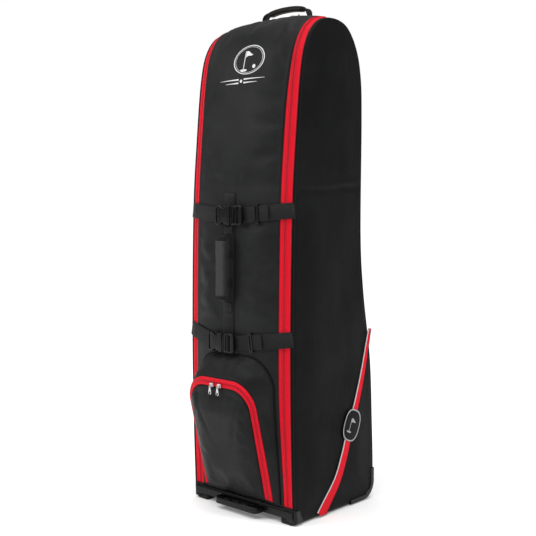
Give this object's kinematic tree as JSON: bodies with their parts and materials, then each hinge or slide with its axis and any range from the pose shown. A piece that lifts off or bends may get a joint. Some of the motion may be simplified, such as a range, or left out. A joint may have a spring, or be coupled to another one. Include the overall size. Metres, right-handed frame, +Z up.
{
  "type": "wheeled golf travel case",
  "caption": "Soft-sided upright golf travel case with a fold-forward zipped hood, compression straps, front pocket, carry handles and rear wheels.",
  "frame": {"origin": "on the ground, midway across, and midway between the front pocket's pulls and the back of the wheels", "axes": "+Z up, -Y out of the front, +X to the right as seen from the front"},
  "size_m": [0.3542, 0.4118, 1.2851],
  "materials": {
    "black_fabric": "satin coated polyester over foam",
    "foam": "foam under lining",
    "red_tape": "woven zip tape",
    "webbing": "ribbed polyester webbing",
    "black_plastic": "moulded, satin",
    "rubber": "matt",
    "nickel": "plated",
    "hub_plastic": "moulded"
  },
  "bodies": {
    "case": {"front_panel": "black_fabric", "rear_panel": "black_fabric", "side_panel_left": "black_fabric", "side_panel_right": "black_fabric", "pocket_cover": "black_fabric", "pocket_gusset": "black_fabric", "body_zip": "red_tape", "front_zip_left": "red_tape", "front_zip_right": "red_tape", "side_stripe_left": "red_tape", "side_stripe_right": "red_tape", "pocket_cover_zip": "red_tape", "pocket_gusset_zip": "red_tape", "upper_strap_left": "webbing", "upper_strap_right": "webbing", "lower_strap_left": "webbing", "lower_strap_right": "webbing", "handle_backing": "webbing", "top_handle_patch": "webbing", "inner_strap_left": "webbing", "inner_strap_right": "webbing", "upper_buckle_female": "black_plastic", "lower_buckle_female": "black_plastic", "base_tray": "black_plastic", "front_foot_bar": "black_plastic", "skid_rail_left": "black_plastic", "skid_rail_right": "black_plastic", "wheel_housing_left": "black_plastic", "wheel_housing_right": "black_plastic", "corner_foot_left": "rubber", "corner_foot_right": "rubber", "axle_bolt_left": "nickel", "axle_bolt_right": "nickel"},
    "hood": {"hood_panel": "black_fabric", "hood_zip": "red_tape", "crown_pad": "foam"},
    "main_slider_left": {"main_slider_left": "nickel"},
    "main_slider_right": {"main_slider_right": "nickel"},
    "main_pull_left": {"main_pull_left": "nickel"},
    "main_pull_right": {"main_pull_right": "nickel"},
    "pocket_slider_left": {"pocket_slider_left": "nickel"},
    "pocket_slider_right": {"pocket_slider_right": "nickel"},
    "pocket_pull_left": {"pocket_pull_left": "nickel"},
    "pocket_pull_right": {"pocket_pull_right": "nickel"},
    "upper_buckle": {"upper_buckle_male": "black_plastic"},
    "lower_buckle": {"lower_buckle_male": "black_plastic"},
    "upper_keeper": {"upper_keeper": "black_plastic"},
    "lower_keeper": {"lower_keeper": "black_plastic"},
    "front_handle": {"front_handle_loop": "webbing", "front_handle_grip": "webbing"},
    "top_handle": {"top_handle_loop": "webbing", "top_handle_grip": "rubber"},
    "wheel_left": {"wheel_tyre_left": "rubber", "wheel_hub_left": "hub_plastic", "wheel_bearing_inner_left": "nickel", "wheel_bearing_outer_left": "nickel"},
    "wheel_right": {"wheel_tyre_right": "rubber", "wheel_hub_right": "hub_plastic", "wheel_bearing_inner_right": "nickel", "wheel_bearing_outer_right": "nickel"}
  },
  "joints": [
    {"name": "hood_fold", "type": "hinge", "parent": "case", "child": "hood", "pos_m": [0, -0.1418, 0.8165], "axis": [1, 0, 0], "range_deg": [0, 135]},
    {"name": "main_slider_left_run", "type": "slide", "parent": "case", "child": "main_slider_left", "axis": [-0.9999, 0, -0.0133], "range_m": [0, 0.05]},
    {"name": "main_slider_right_run", "type": "slide", "parent": "case", "child": "main_slider_right", "axis": [0.9999, 0, -0.0133], "range_m": [0, 0.05]},
    {"name": "main_pull_left_lift", "type": "hinge", "parent": "main_slider_left", "child": "main_pull_left", "pos_m": [-0.0281, 0.0372, 1.2475], "axis": [0, 1, 0], "range_deg": [0, 110]},
    {"name": "main_pull_right_lift", "type": "hinge", "parent": "main_slider_right", "child": "main_pull_right", "pos_m": [0.0281, 0.0372, 1.2475], "axis": [0, -1, 0], "range_deg": [0, 110]},
    {"name": "pocket_slider_left_run", "type": "slide", "parent": "case", "child": "pocket_slider_left", "axis": [-1, 0, 0], "range_m": [0, 0.026]},
    {"name": "pocket_slider_right_run", "type": "slide", "parent": "case", "child": "pocket_slider_right", "axis": [1, 0, 0], "range_m": [0, 0.026]},
    {"name": "pocket_pull_left_swing", "type": "hinge", "parent": "pocket_slider_left", "child": "pocket_pull_left", "pos_m": [-0.025, -0.2026, 0.3296], "axis": [-1, 0, 0], "range_deg": [0, 120]},
    {"name": "pocket_pull_right_swing", "type": "hinge", "parent": "pocket_slider_right", "child": "pocket_pull_right", "pos_m": [0.001, -0.2026, 0.3296], "axis": [-1, 0, 0], "range_deg": [0, 120]},
    {"name": "upper_buckle_release", "type": "slide", "parent": "case", "child": "upper_buckle", "axis": [1, 0, 0], "range_m": [0, 0.03]},
    {"name": "lower_buckle_release", "type": "slide", "parent": "case", "child": "lower_buckle", "axis": [1, -0.0097, 0], "range_m": [0, 0.03]},
    {"name": "upper_keeper_slide", "type": "slide", "parent": "case", "child": "upper_keeper", "axis": [0.9884, 0.1151, 0.0989], "range_m": [-0.01, 0.008]},
    {"name": "lower_keeper_slide", "type": "slide", "parent": "case", "child": "lower_keeper", "axis": [0.9881, 0.0764, 0.1334], "range_m": [-0.01, 0.01]},
    {"name": "front_handle_swing", "type": "hinge", "parent": "case", "child": "front_handle", "pos_m": [-0.012, -0.1528, 0.698], "axis": [0, 0.0196, 0.9998], "range_deg": [-55, 55]},
    {"name": "top_handle_swing", "type": "hinge", "parent": "case", "child": "top_handle", "pos_m": [-0.022, 0.0774, 1.2367], "axis": [1, 0, 0], "range_deg": [-70, 20]},
    {"name": "wheel_left_spin", "type": "hinge", "parent": "case", "child": "wheel_left", "pos_m": [-0.14, 0.166, 0.038], "axis": [1, 0, 0], "continuous": true},
    {"name": "wheel_right_spin", "type": "hinge", "parent": "case", "child": "wheel_right", "pos_m": [0.14, 0.166, 0.038], "axis": [1, 0, 0], "continuous": true}
  ]
}
